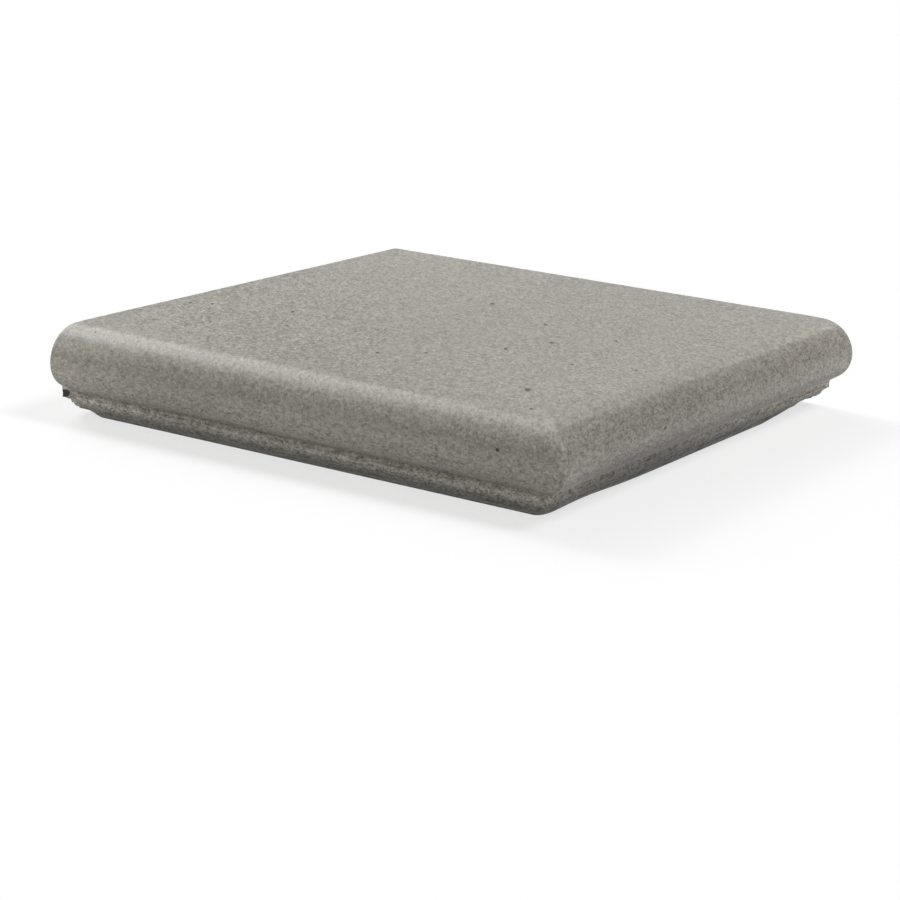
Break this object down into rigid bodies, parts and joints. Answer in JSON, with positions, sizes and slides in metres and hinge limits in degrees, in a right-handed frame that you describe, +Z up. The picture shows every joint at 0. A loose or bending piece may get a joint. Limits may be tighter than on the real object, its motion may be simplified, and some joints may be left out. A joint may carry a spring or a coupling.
{
  "type": "clinker corner stair tread",
  "caption": "square fired-clay stair tread for an outside corner, with a rounded overhanging nose on two adjacent sides that meet in a mitre, and a drip groove below",
  "frame": {"origin": "middle of the square plan, on the floor that the two legs' standing face lies on", "axes": "+Z up, out of the tread's walking face; -Y out of the front nose; +X out of the right nose; -X and +Y out of the two cut sides that butt against the neighbouring treads"},
  "size_m": [0.33, 0.33, 0.053],
  "materials": {
    "clinker": "matte"
  },
  "bodies": {
    "root": {"corner_tread": "clinker"}
  },
  "joints": []
}
